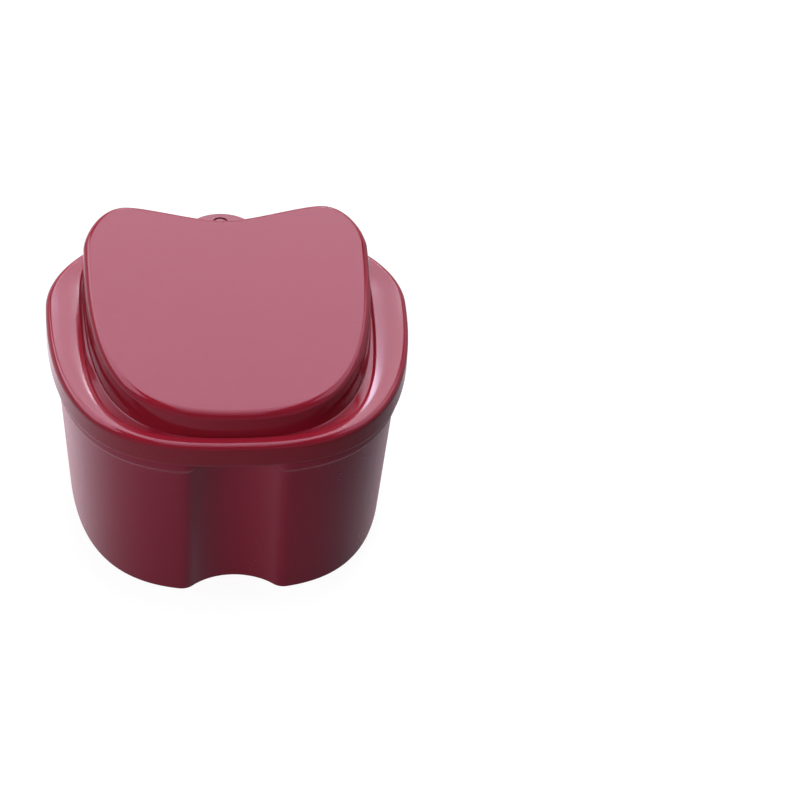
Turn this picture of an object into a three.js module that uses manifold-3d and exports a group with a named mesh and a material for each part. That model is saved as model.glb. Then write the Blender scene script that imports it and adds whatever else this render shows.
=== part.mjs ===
// Denture soaking case: a tub, a strainer basket with a folding handle, and a press-on lid.
// Millimetres, +Z up. The tub's finger groove faces -Y and the lid's lift tab faces +Y.
// Every outline is drawn around the middle of the lid's rim, and the finished group is then
// moved so that the origin lies at the bottom centre of the whole case.

import * as THREE from 'three';
import { mergeVertices } from 'three/addons/utils/BufferGeometryUtils.js';
import Module from 'manifold-3d';

const wasm = await Module();
wasm.setup();

// Overall outline, measured over the lid's rim
const caseWidth = 95;
const caseFront = 47.9;
const caseRear = 48.9;
const widestPlace = 12.5;

// Handle lengths of the four curves that make the rounded outline, front corner then rear corner
const frontShares = { along: 0.47, up: 0.96 };
const rearShares = { up: 0.47, along: 0.66 };

// Tub
const tubHeight = 46.5;
const tubWall = 2;
const tubFloor = 2.4;
const baseRadius = 0.5;
const floorRadius = 1.4;
const sideDraft = 3.2;
const endDraft = 1.2;
const grooveDepth = 6;
const grooveRadius = 14.5;
const grooveCornerRadius = 5;
const grooveLeastRadius = 0.35;
const beadProud = 1.4;
const beadHeight = 3.2;

// Lid
const lidWall = 1.8;
const lidFit = 0.4;
const skirtHeight = 6.4;
const rimThickness = 2.9;
const rimRadius = 1.6;
const channelDepth = 1.3;
const channelEdgeRadius = 0.5;
const sideBand = 9.2;
const frontBand = 4.2;
const rearBand = 5.4;
const channelWidest = 16.9;
const channelFrontShares = { along: 0.84, up: 0.85 };
const channelRearShares = { up: 0.75, along: 0.86 };

// Raised top of the lid, heart-shaped and rising towards the rear
const sideChannel = 0.6;
const frontChannel = 0.4;
const lobeChannel = 5.9;
const topFrontRise = 5.5;
const topSlope = 0.105;
const topRadius = 1.9;
const topDraft = 0.3;
const topFrontLean = 1;
const topWidest = 21.3;
const lobePlace = 26.1;
const notchDepth = 5.75;
const heartFrontShares = { along: 0.72, up: 0.79 };
const heartSideShares = { up: 0.3, along: 0.67 };
const heartNotchShares = { lobe: 0.22, middle: 0.27 };

// Lift tab at the rear of the lid, with a shallow ring-shaped touch mark
const tabRadius = 10.5;
const tabReach = 6;
const tabThickness = 2.6;
const tabDrop = 1.5;
const markRadius = 1.7;
const markWidth = 0.7;
const markDepth = 0.4;
const markInset = 4.2;

// Basket
const basketWall = 1.5;
const basketFloor = 1.6;
const basketGap = 0.9;
const basketLift = 3.2;
const flangeThickness = 1.3;
const flangeSetback = 0.3;
const seatGap = 0.3;
const slotWidth = 3;
const floorSlotLength = 15;
const floorSlotPitch = 7.5;
const floorRowPitch = 20;
const floorRows = 3;
const floorMargin = 7;
const wallSlotPitch = 8.5;
const wallSlotTop = 12;
const wallSlotBottom = 7;
const wallMargin = 11;

// Basket handle, folded flat around the rear of the basket
const strapWidth = 3;
const strapThickness = 2.2;
const strapGap = 0.6;
const handleDrop = 2.6;
const pivotRadius = 1.3;
const pivotGap = 0.3;
const pivotReach = 1.7;
const earLength = 5;

// Numbers of steps along each curve, and the reach of a cutter past what it cuts
const frontSteps = 14;
const rearSteps = 16;
const lobeSteps = 9;
const grooveSteps = 5;
const cornerSteps = 3;
const radiusSteps = 3;
const roundSteps = 20;
const tabSteps = 60;
const slotSteps = 4;
const overrun = 1;
const halvings = 40;

// Heights and insets that follow from the sizes above
const basketRim = tubHeight + seatGap + flangeThickness;
const lidUnderside = basketRim + seatGap;
const rimTop = lidUnderside + rimThickness;
const skirtBottom = rimTop - skirtHeight;
const beadTop = skirtBottom - seatGap;
const beadBottom = beadTop - beadHeight;
const channelFloor = rimTop - channelDepth;
const collarInset = lidWall + lidFit;
const basketBottom = tubFloor + basketLift;
const quarterTurn = Math.PI / 2;

// Materials

const burgundy = new THREE.MeshStandardMaterial({ color: 0x8a1f33, roughness: 0.16, metalness: 0 });
const white = new THREE.MeshStandardMaterial({ color: 0xece9e4, roughness: 0.35, metalness: 0 });

// Curves and outlines. A half outline runs from the front middle round the +X side to the rear middle.

const point = (x, y) => new THREE.Vector2(x, y);

function curvePoints(start, handleA, handleB, end, steps) {
  return new THREE.CubicBezierCurve(start, handleA, handleB, end).getPoints(steps);
}

function mirrorHalf(half) {
  const other = half.slice(1, -1).reverse().map((p) => point(-p.x, p.y));
  return [...half, ...other];
}

// The front quarter of a rounded outline, from the front middle to its widest place
function frontCurve(halfWidth, front, widest, shares) {
  return new THREE.CubicBezierCurve(
    point(0, -front),
    point(shares.along * halfWidth, -front),
    point(halfWidth, widest - shares.up * (widest + front)),
    point(halfWidth, widest),
  );
}

// The rear quarter, from the widest place to the rear middle
function rearCurve(halfWidth, rear, widest, shares) {
  return new THREE.CubicBezierCurve(
    point(halfWidth, widest),
    point(halfWidth, widest + shares.up * (rear - widest)),
    point(shares.along * halfWidth, rear),
    point(0, rear),
  );
}

function caseCurves(sideInset, endInset) {
  const halfWidth = caseWidth / 2 - sideInset;
  return {
    front: frontCurve(halfWidth, caseFront - endInset, widestPlace, frontShares),
    rear: rearCurve(halfWidth, caseRear - endInset, widestPlace, rearShares),
  };
}

function caseOutline(sideInset, endInset) {
  const { front, rear } = caseCurves(sideInset, endInset);
  return mirrorHalf([...front.getPoints(frontSteps), ...rear.getPoints(rearSteps).slice(1)]);
}

// Place along a front curve where it reaches x, found by halving
function placeAlong(curve, x) {
  let low = 0;
  let high = 1;
  for (let i = 0; i < halvings; i += 1) {
    const middle = (low + high) / 2;
    if (curve.getPoint(middle).x < x) low = middle;
    else high = middle;
  }
  return (low + high) / 2;
}

// Tub outline: the case outline with the finger groove pressed into its front.
// wallInset is how far inside the tub's outer face it lies.
function groovedOutline(sideInset, endInset, wallInset) {
  const { front, rear } = caseCurves(sideInset, endInset);
  const hollow = grooveRadius + wallInset;
  const corner = Math.max(grooveCornerRadius - wallInset, grooveLeastRadius);
  const cornerX = Math.sqrt(grooveDepth * (2 * (hollow + corner) - grooveDepth));
  const sweep = Math.asin(cornerX / (hollow + corner));
  const half = [];
  const press = (x, depth) => half.push(point(x, front.getPoint(placeAlong(front, x)).y + depth));
  for (let i = 0; i <= grooveSteps; i += 1) {
    const angle = sweep * i / grooveSteps;
    press(hollow * Math.sin(angle), grooveDepth - hollow * (1 - Math.cos(angle)));
  }
  for (let i = 1; i < cornerSteps; i += 1) {
    const angle = sweep * (1 - i / cornerSteps);
    press(cornerX - corner * Math.sin(angle), corner * (1 - Math.cos(angle)));
  }
  const start = placeAlong(front, cornerX);
  for (let i = 0; i <= frontSteps; i += 1) {
    half.push(front.getPoint(start + (1 - start) * i / frontSteps));
  }
  return mirrorHalf([...half, ...rear.getPoints(rearSteps).slice(1)]);
}

// The channel's outer edge, where the flat rim ends
const channelWidth = caseWidth / 2 - sideBand;
const channelFront = caseFront - frontBand;
const channelRear = caseRear - rearBand;

function channelOutline(inset) {
  const front = frontCurve(channelWidth - inset, channelFront - inset, channelWidest, channelFrontShares);
  const rear = rearCurve(channelWidth - inset, channelRear - inset, channelWidest, channelRearShares);
  return mirrorHalf([...front.getPoints(frontSteps), ...rear.getPoints(rearSteps).slice(1)]);
}

// Heart-shaped outline of the raised top at its foot, or further in with a front that leans back
const heartWidth = channelWidth - sideChannel;
const heartFront = channelFront - frontChannel;
const heartLobe = channelRear - lobeChannel;

function heartOutline(inset, lean = 0) {
  const halfWidth = heartWidth - inset;
  const front = heartFront - inset - lean;
  const lobe = heartLobe - inset;
  const notch = heartLobe - notchDepth - inset;
  const side = point(halfWidth, topWidest);
  const top = point(lobePlace, lobe);
  const frontHalf = frontCurve(halfWidth, front, topWidest, heartFrontShares).getPoints(frontSteps);
  const lobeCurve = curvePoints(
    side,
    point(halfWidth, topWidest + heartSideShares.up * (lobe - topWidest)),
    point(lobePlace + heartSideShares.along * (halfWidth - lobePlace), lobe),
    top,
    lobeSteps,
  );
  const notchCurve = curvePoints(
    top,
    point(lobePlace * (1 - heartNotchShares.lobe), lobe),
    point(lobePlace * heartNotchShares.middle, notch),
    point(0, notch),
    rearSteps - lobeSteps,
  );
  return mirrorHalf([...frontHalf, ...lobeCurve.slice(1), ...notchCurve.slice(1)]);
}

// Solids

// Closed body through a stack of rings with equal numbers of points; height is a number or a function of y
function loft(rings) {
  const count = rings[0].outline.length;
  const positions = [];
  for (const { outline, height } of rings) {
    for (const p of outline) {
      positions.push(p.x, p.y, typeof height === 'function' ? height(p.y) : height);
    }
  }
  const index = [];
  for (let ring = 0; ring < rings.length - 1; ring += 1) {
    const low = ring * count;
    const high = low + count;
    for (let i = 0; i < count; i += 1) {
      const next = (i + 1) % count;
      index.push(low + i, low + next, high + next, low + i, high + next, high + i);
    }
  }
  const lastRing = (rings.length - 1) * count;
  for (const [a, b, c] of THREE.ShapeUtils.triangulateShape(rings[0].outline, [])) {
    index.push(c, b, a);
  }
  for (const [a, b, c] of THREE.ShapeUtils.triangulateShape(rings[rings.length - 1].outline, [])) {
    index.push(lastRing + a, lastRing + b, lastRing + c);
  }
  const geometry = new THREE.BufferGeometry();
  geometry.setAttribute('position', new THREE.Float32BufferAttribute(positions, 3));
  geometry.setIndex(index);
  return geometry;
}

function toManifold(geometry) {
  const bare = geometry.clone();
  bare.deleteAttribute('normal');
  bare.deleteAttribute('uv');
  const merged = mergeVertices(bare);
  const vertProperties = new Float32Array(merged.attributes.position.array);
  const triVerts = new Uint32Array(merged.index.array);
  return new wasm.Manifold(new wasm.Mesh({ numProp: 3, vertProperties, triVerts }));
}

function toGeometry(solid) {
  const { vertProperties, triVerts, numProp } = solid.getMesh();
  const geometry = new THREE.BufferGeometry();
  const positions = [];
  for (let i = 0; i < vertProperties.length; i += numProp) {
    positions.push(vertProperties[i], vertProperties[i + 1], vertProperties[i + 2]);
  }
  geometry.setAttribute('position', new THREE.Float32BufferAttribute(positions, 3));
  geometry.setIndex([...triVerts]);
  return geometry;
}

// Extruded outline between two heights
function slab(outline, low, high) {
  const geometry = new THREE.ExtrudeGeometry(new THREE.Shape(outline), { depth: high - low, bevelEnabled: false });
  geometry.translate(0, 0, low);
  return geometry;
}

function roundBar(radius, length) {
  return new THREE.CylinderGeometry(radius, radius, length, roundSteps);
}

// Rings of a rounded edge: inset grows by radius while the height rises by the same amount
function roundedEdge(outlineAt, heightAt, radius) {
  const rings = [];
  for (let i = 0; i <= radiusSteps; i += 1) {
    const angle = quarterTurn * i / radiusSteps;
    const inset = radius * (1 - Math.cos(angle));
    const below = radius * (1 - Math.sin(angle));
    rings.push({ outline: outlineAt(inset), height: heightAt(below) });
  }
  return rings;
}

// Tub

// Sideways and endways insets of the tub's outer face at a height, from the drafts
function wallInsets(height) {
  const down = 1 - height / beadBottom;
  return { side: collarInset + sideDraft * down, end: collarInset + endDraft * down };
}

function tubRing(height, inset) {
  const wall = wallInsets(Math.min(height, beadBottom));
  return { outline: groovedOutline(wall.side + inset, wall.end + inset, inset), height };
}

function makeTub() {
  const rings = [];
  for (let i = 0; i <= radiusSteps; i += 1) {
    const angle = quarterTurn * i / radiusSteps;
    rings.push(tubRing(baseRadius * (1 - Math.cos(angle)), baseRadius * (1 - Math.sin(angle))));
  }
  const beadSlope = beadProud / 2;
  rings.push(tubRing(beadBottom - beadSlope, 0));
  rings.push({ ...tubRing(beadBottom, -beadProud), height: beadBottom + beadSlope });
  rings.push({ ...tubRing(beadBottom, -beadProud), height: beadTop });
  rings.push({ ...tubRing(beadBottom, 0), height: beadTop });
  rings.push(tubRing(tubHeight, 0));
  rings.push(tubRing(tubHeight, tubWall));
  rings.push(tubRing(beadBottom, tubWall));
  rings.push(tubRing(tubFloor + floorRadius, tubWall));
  rings.push(tubRing(tubFloor, tubWall + floorRadius));
  return toManifold(loft(rings));
}

// Lid

const topHeight = (y) => rimTop + topFrontRise + topSlope * (y + heartFront - topFrontLean);

function makeLidShell() {
  const topOutline = (inset) => heartOutline(topDraft + inset, topFrontLean);
  const rings = [
    { outline: topOutline(lidWall + topRadius), height: (y) => topHeight(y) - lidWall },
    { outline: topOutline(lidWall), height: (y) => topHeight(y) - lidWall - topRadius / 2 },
    { outline: heartOutline(lidWall), height: lidUnderside },
    { outline: caseOutline(lidWall, lidWall), height: lidUnderside },
    { outline: caseOutline(lidWall, lidWall), height: skirtBottom },
    { outline: caseOutline(0, 0), height: skirtBottom },
    ...roundedEdge((inset) => caseOutline(inset, inset), (below) => rimTop - below, rimRadius),
    { outline: channelOutline(-channelEdgeRadius), height: rimTop },
    { outline: channelOutline(0), height: rimTop - channelEdgeRadius },
    { outline: channelOutline(0), height: channelFloor },
    { outline: heartOutline(0), height: channelFloor },
    ...roundedEdge(topOutline, (below) => (y) => topHeight(y) - below, topRadius),
  ];
  return toManifold(loft(rings));
}

// Tab outline: a circle that stands out from the rim, joined back to the skirt
function makeTab() {
  const centreY = caseRear + tabReach - tabRadius;
  const top = rimTop - tabDrop;
  const disc = new THREE.CylinderGeometry(tabRadius, tabRadius, tabThickness, tabSteps);
  disc.rotateX(quarterTurn);
  disc.translate(0, centreY, top - tabThickness / 2);
  const keepFrom = caseRear - lidWall / 2;
  const keep = new THREE.BoxGeometry(2 * (tabRadius + overrun), tabRadius, tabThickness + 2 * overrun);
  keep.translate(0, keepFrom + tabRadius / 2, top - tabThickness / 2);
  const markY = caseRear + tabReach - markInset;
  const outer = roundBar(markRadius + markWidth / 2, 2 * markDepth);
  const inner = roundBar(markRadius - markWidth / 2, 2 * (markDepth + overrun));
  for (const bar of [outer, inner]) {
    bar.rotateX(quarterTurn);
    bar.translate(0, markY, top);
  }
  const mark = toManifold(outer).subtract(toManifold(inner));
  return toManifold(disc).intersect(toManifold(keep)).subtract(mark);
}

function makeLid() {
  return makeLidShell().add(makeTab());
}

// Basket

const innerSide = tubWall + basketGap + basketWall;

// Rounded slot along Z through the floor, or along the wall, as an outline of two half circles
function slotShape(width, length) {
  const radius = width / 2;
  const straight = length / 2 - radius;
  const shape = new THREE.Shape();
  shape.absarc(0, straight, radius, 0, Math.PI, false);
  shape.absarc(0, -straight, radius, Math.PI, 2 * Math.PI, false);
  return shape;
}

function slotCutter(width, length, depth) {
  return new THREE.ExtrudeGeometry(slotShape(width, length), { depth, bevelEnabled: false, curveSegments: slotSteps });
}

function floorSlots() {
  const cutters = [];
  const reachX = caseWidth / 2 - wallInsets(basketBottom).side - innerSide - floorMargin;
  const columns = Math.floor(reachX / floorSlotPitch);
  const border = tubRing(basketBottom, innerSide + floorMargin).outline;
  const half = floorSlotLength / 2;
  for (let row = 0; row < floorRows; row += 1) {
    const y = (row - (floorRows - 1) / 2) * floorRowPitch;
    for (let column = -columns; column <= columns; column += 1) {
      const x = column * floorSlotPitch;
      if (!insideOutline(border, x, y - half) || !insideOutline(border, x, y + half)) continue;
      const cutter = slotCutter(slotWidth, floorSlotLength, basketFloor + 2 * overrun);
      cutter.translate(x, y, basketBottom - overrun);
      cutters.push(toManifold(cutter));
    }
  }
  return cutters;
}

function insideOutline(outline, x, y) {
  let inside = false;
  for (let i = 0, j = outline.length - 1; i < outline.length; j = i, i += 1) {
    const a = outline[i];
    const b = outline[j];
    if ((a.y > y) !== (b.y > y) && x < (b.x - a.x) * (y - a.y) / (b.y - a.y) + a.x) inside = !inside;
  }
  return inside;
}

function wallSlots() {
  const low = basketBottom + wallSlotBottom;
  const high = basketRim - wallSlotTop;
  const length = high - low;
  const middle = (high + low) / 2;
  const cutters = [];
  const sideReach = caseWidth + 2 * overrun;
  const rearCount = Math.floor((caseRear - wallMargin - widestPlace) / wallSlotPitch);
  const sideCount = 3 * rearCount;
  for (let i = 0; i < sideCount; i += 1) {
    const cutter = slotCutter(slotWidth, length, sideReach);
    cutter.rotateX(quarterTurn);
    cutter.rotateZ(quarterTurn);
    cutter.translate(-sideReach / 2, widestPlace / 2 + (i + 1 / 2 - sideCount + rearCount) * wallSlotPitch, middle);
    cutters.push(toManifold(cutter));
  }
  const endReach = caseFront + caseRear;
  const endCount = Math.floor((caseWidth / 2 - sideDraft - 2 * wallMargin) / wallSlotPitch);
  for (let i = -endCount; i <= endCount; i += 1) {
    const cutter = slotCutter(slotWidth, length, endReach);
    cutter.rotateX(quarterTurn);
    cutter.translate(i * wallSlotPitch, caseRear, middle);
    cutters.push(toManifold(cutter));
  }
  return cutters;
}

// Pivot of the handle: at the widest place of the basket
const pivotHeight = basketRim - flangeThickness - handleDrop;
const pivotPlace = widestPlace;
const innerHalfWidth = caseWidth / 2 - collarInset - innerSide;

function makeBasket() {
  const gap = tubWall + basketGap;
  const rings = [
    tubRing(basketBottom, gap + floorRadius),
    tubRing(basketBottom + floorRadius, gap),
    tubRing(beadBottom, gap),
    tubRing(tubHeight + seatGap, gap),
    { ...tubRing(tubHeight, flangeSetback), height: tubHeight + seatGap },
    { ...tubRing(tubHeight, flangeSetback), height: basketRim },
    tubRing(basketRim, innerSide),
    tubRing(beadBottom, innerSide),
    tubRing(basketBottom + basketFloor + floorRadius, innerSide),
    tubRing(basketBottom + basketFloor, innerSide + floorRadius),
  ];
  const holes = roundBar(pivotRadius + pivotGap, caseWidth);
  holes.rotateZ(quarterTurn);
  holes.translate(0, pivotPlace, pivotHeight);
  let basket = toManifold(loft(rings)).subtract(toManifold(holes));
  for (const cutter of [...floorSlots(), ...wallSlots()]) basket = basket.subtract(cutter);
  return basket;
}

// Handle

// Path round the rear of the basket, from the pivot on one side to the pivot on the other
function strapOutline(inset) {
  const wall = wallInsets(beadBottom);
  const half = caseCurves(wall.side + inset, wall.end + inset).rear.getPoints(rearSteps);
  const other = half.slice(0, -1).reverse().map((p) => point(-p.x, p.y));
  return [...half, ...other];
}

function makeHandle() {
  const outer = strapOutline(innerSide + strapGap);
  const inner = strapOutline(innerSide + strapGap + strapWidth).reverse();
  const earY = pivotPlace - earLength / 2;
  const shape = [
    point(outer[0].x, earY),
    ...outer,
    point(outer[outer.length - 1].x, earY),
    point(inner[0].x, earY),
    ...inner,
    point(inner[inner.length - 1].x, earY),
  ];
  const low = pivotHeight - strapThickness / 2;
  let handle = toManifold(slab(shape, low, low + strapThickness));
  for (const side of [-1, 1]) {
    const length = strapWidth / 2 + strapGap + pivotReach - pivotGap;
    const pin = roundBar(pivotRadius, length);
    pin.rotateZ(quarterTurn);
    const start = innerHalfWidth - strapGap - strapWidth / 2;
    pin.translate(side * (start + length / 2), pivotPlace, pivotHeight);
    handle = handle.add(toManifold(pin));
  }
  return handle;
}

// Assembly

function addPiece(group, name, solid, material) {
  const mesh = new THREE.Mesh(toGeometry(solid), material);
  mesh.name = name;
  group.add(mesh);
}

const dentureCase = new THREE.Group();
addPiece(dentureCase, 'tub', makeTub(), burgundy);
addPiece(dentureCase, 'basket', makeBasket(), white);
addPiece(dentureCase, 'basket_handle', makeHandle(), white);
addPiece(dentureCase, 'lid', makeLid(), burgundy);
dentureCase.position.y = (caseFront - caseRear - tabReach) / 2;

const object = new THREE.Group();
object.add(dentureCase);

export default object;
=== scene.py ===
import math

import bmesh
import bpy
from bpy.props import FloatProperty, FloatVectorProperty, IntProperty, PointerProperty
from mathutils import Matrix, Vector
from mathutils.geometry import interpolate_bezier


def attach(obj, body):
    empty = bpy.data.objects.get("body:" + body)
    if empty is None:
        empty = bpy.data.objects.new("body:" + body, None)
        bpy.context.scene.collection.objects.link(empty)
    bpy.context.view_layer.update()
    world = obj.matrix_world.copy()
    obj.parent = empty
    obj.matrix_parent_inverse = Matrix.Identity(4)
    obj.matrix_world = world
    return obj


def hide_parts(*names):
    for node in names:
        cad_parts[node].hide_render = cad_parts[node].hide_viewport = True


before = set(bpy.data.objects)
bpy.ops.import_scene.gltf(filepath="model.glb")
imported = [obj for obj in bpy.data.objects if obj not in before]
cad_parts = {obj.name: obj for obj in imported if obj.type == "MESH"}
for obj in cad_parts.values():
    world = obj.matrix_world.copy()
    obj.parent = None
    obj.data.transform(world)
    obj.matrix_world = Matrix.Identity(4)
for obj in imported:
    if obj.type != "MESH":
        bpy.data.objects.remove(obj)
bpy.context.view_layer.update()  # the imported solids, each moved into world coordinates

bl_info = {
    "name": "Denture Case",
    "version": (1, 0, 0),
    "blender": (4, 5, 0),
    "location": "3D View > Sidebar > Denture Case",
    "description": "Models and finishes the tub, lid, strainer basket and handle of a denture soaking case",
    "category": "Object",
}


def length(name, description, default):
    return FloatProperty(name=name, description=description, default=default, min=0, precision=5,
                         unit="LENGTH")


def turning(name, description, degrees):
    return FloatProperty(name=name, description=description, default=math.radians(degrees), unit="ROTATION")


def factor(name, description, default):
    return FloatProperty(name=name, description=description, default=default, min=0, max=1,
                         subtype="FACTOR")


def slant(name, description, default):
    return FloatProperty(name=name, description=description, default=default, min=0)


def paint(name, description, default):
    return FloatVectorProperty(name=name, description=description, default=default, size=3, min=0, max=1,
                               subtype="COLOR")


def shares(name, description, default):
    return FloatVectorProperty(name=name, description=description, default=default, size=2, min=0, max=1)


class DentureCaseOutline(bpy.types.PropertyGroup):
    """The rounded outline that every moulding follows, drawn around the middle of the lid's rim."""
    width: length("Width", "Across the lid's rim", 0.095)
    front: length("Front", "From the middle to the front of the rim", 0.0479)
    rear: length("Rear", "From the middle to the rear of the rim", 0.0489)
    widest: length("Widest place", "How far behind the middle the case is widest", 0.0125)
    front_shares: shares("Front curve", "Handle lengths along the front and up the side", (0.47, 0.96))
    rear_shares: shares("Rear curve", "Handle lengths up the side and along the rear", (0.47, 0.66))
    front_steps: IntProperty(name="Front steps", description="Edges along each front curve",
                             default=40, min=8)
    rear_steps: IntProperty(name="Rear steps", description="Edges along each rear curve",
                            default=40, min=8)


class DentureCaseTub(bpy.types.PropertyGroup):
    """Sizes of the tub."""
    height: length("Height", "From the table to the tub's top edge", 0.0465)
    wall: length("Wall", "Wall thickness", 0.002)
    floor: length("Floor", "Floor thickness", 0.0024)
    base_radius: length("Base radius", "Rounding between the wall and the underside", 0.0005)
    floor_radius: length("Floor radius", "Rounding between the floor and the wall inside", 0.0014)
    side_draft: length("Side draft", "How far each side tapers in at the table", 0.0032)
    end_draft: length("End draft", "How far the front and rear taper in at the table", 0.0012)
    groove_depth: length("Groove depth", "Depth of the finger groove at the front", 0.006)
    groove_radius: length("Groove radius", "Radius of the finger groove's hollow", 0.0145)
    groove_corner: length("Groove corner", "Rounding of the groove's two edges", 0.005)
    groove_steps: IntProperty(name="Groove steps", description="Edges across half the groove",
                              default=14, min=4)
    bead_proud: length("Bead", "How far the bead below the lid stands out", 0.0014)
    bead_height: length("Bead height", "Height of the bead", 0.0032)
    bead_round: length("Bead rounding", "Rounding of the bead's upper edge", 0.0005)
    edge_radius: length("Edge radius", "Rounding of the tub's small edges", 0.0004)


class DentureCaseLid(bpy.types.PropertyGroup):
    """Sizes of the lid."""
    wall: length("Wall", "Wall thickness", 0.0018)
    fit: length("Fit", "Gap between the skirt and the tub's collar", 0.0004)
    seat_gap: length("Seat gap", "Gap between parts that rest on each other", 0.0003)
    skirt_height: length("Skirt height", "From the rim down to the skirt's edge", 0.0064)
    rim_thickness: length("Rim thickness", "Thickness of the flat rim", 0.0029)
    rim_radius: length("Rim radius", "Rounding between the rim and the skirt", 0.0016)
    rim_crown: slant("Rim crown", "Fall of the rim towards the channel for its width", 0.06)
    channel_depth: length("Channel depth", "Depth of the channel around the raised top", 0.0013)
    channel_edge: length("Channel edge", "Rounding of the channel's outer edge", 0.0005)
    side_band: length("Side rim", "Width of the rim at the sides", 0.0092)
    front_band: length("Front rim", "Width of the rim at the front", 0.0042)
    rear_band: length("Rear rim", "Width of the rim at the rear", 0.0054)
    channel_widest: length("Channel widest place", "How far behind the middle the channel is widest",
                           0.0169)
    channel_front_shares: shares("Channel front curve", "Handle lengths along the front and up the side",
                                 (0.84, 0.85))
    channel_rear_shares: shares("Channel rear curve", "Handle lengths up the side and along the rear",
                                (0.75, 0.86))
    side_channel: length("Side channel", "Channel width at the sides", 0.0006)
    front_channel: length("Front channel", "Channel width at the front", 0.0004)
    lobe_channel: length("Rear channel", "Channel width behind the two lobes", 0.0059)
    top_rise: length("Front rise", "How far the raised top stands above the rim at the front", 0.0055)
    top_slope: slant("Top slope", "Rise of the raised top for each length towards the rear", 0.105)
    top_radius: length("Top radius", "Rounding of the raised top's edge", 0.0019)
    top_draft: length("Top draft", "How far the raised wall leans in", 0.0003)
    front_lean: length("Front lean", "How much further the raised wall leans back at the front", 0.001)
    top_widest: length("Top widest place", "How far behind the middle the raised top is widest", 0.0213)
    lobe_place: length("Lobe place", "How far to each side the rear lobes stand", 0.0261)
    notch_depth: length("Notch depth", "Depth of the hollow between the two lobes", 0.00575)
    heart_front_shares: shares("Top front curve", "Handle lengths along the front and up the side",
                               (0.72, 0.79))
    heart_side_shares: shares("Lobe curve", "Handle lengths up the side and along the lobe", (0.3, 0.67))
    heart_notch_shares: shares("Notch curve", "Handle lengths from the lobe and from the middle",
                               (0.22, 0.27))
    lobe_steps: IntProperty(name="Lobe steps", description="Edges from the side to each lobe",
                            default=22, min=6)
    edge_radius: length("Edge radius", "Rounding of the lid's small edges", 0.0004)
    tab_radius: length("Tab radius", "Radius of the lift tab", 0.0105)
    tab_reach: length("Tab reach", "How far the tab stands out behind the rim", 0.006)
    tab_thickness: length("Tab thickness", "Thickness of the tab", 0.0026)
    tab_drop: length("Tab drop", "How far the tab lies below the rim", 0.0015)
    tab_edge: length("Tab edge", "Rounding of the tab's edge", 0.0008)
    mark_radius: length("Mark radius", "Radius of the ring-shaped touch mark", 0.0017)
    mark_width: length("Mark width", "Width of the touch mark's groove", 0.0007)
    mark_depth: length("Mark depth", "Depth of the touch mark's groove", 0.0004)
    mark_inset: length("Mark inset", "From the tab's tip to the middle of the mark", 0.0042)


class DentureCaseBasket(bpy.types.PropertyGroup):
    """Sizes of the strainer basket."""
    wall: length("Wall", "Wall thickness", 0.0015)
    floor: length("Floor", "Floor thickness", 0.0016)
    gap: length("Gap", "Gap between the basket and the tub", 0.0009)
    lift: length("Lift", "How far the basket's floor hangs above the tub's floor", 0.0032)
    flange_thickness: length("Flange thickness", "Thickness of the flange that hangs on the tub", 0.0013)
    flange_setback: length("Flange setback", "How far the flange ends inside the tub's collar", 0.0003)
    flange_radius: length("Flange radius", "Rounding of the flange's upper edges", 0.0004)
    flange_under: length("Flange underside", "Rounding of the flange's lower edge", 0.0003)
    slot_width: length("Slot width", "Width of each drain slot", 0.003)
    floor_slot: length("Floor slot", "Length of each slot in the floor", 0.015)
    floor_pitch: length("Floor pitch", "From one floor slot to the next", 0.0075)
    floor_row: length("Floor row", "From one row of floor slots to the next", 0.020)
    floor_margin: length("Floor margin", "Plain border of the floor", 0.007)
    wall_pitch: length("Wall pitch", "From one wall slot to the next", 0.0085)
    wall_top: length("Slot top", "From the rim down to the wall slots", 0.012)
    wall_bottom: length("Slot bottom", "From the basket's underside up to the wall slots", 0.007)
    wall_margin: length("Wall margin", "Plain wall at each corner", 0.011)
    edge_radius: length("Edge radius", "Rounding of the slots and small edges", 0.00025)


class DentureCaseHandle(bpy.types.PropertyGroup):
    """Sizes of the folding handle."""
    width: length("Strap width", "Width of the strap", 0.003)
    thickness: length("Strap thickness", "Thickness of the strap", 0.0022)
    gap: length("Strap gap", "Gap between the strap and the basket's wall", 0.0006)
    drop: length("Drop", "From the flange's underside down to the pivots", 0.0026)
    pivot_radius: length("Pivot radius", "Radius of the pivot pins", 0.0013)
    pivot_gap: length("Pivot gap", "Gap around the pivot pins", 0.0003)
    pivot_reach: length("Pivot reach", "How far the pins reach into the wall", 0.0017)
    ear: length("Ear length", "Length of the rounded ends at the pivots", 0.005)
    edge_radius: length("Edge radius", "Rounding of the strap's edges", 0.0005)


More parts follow.
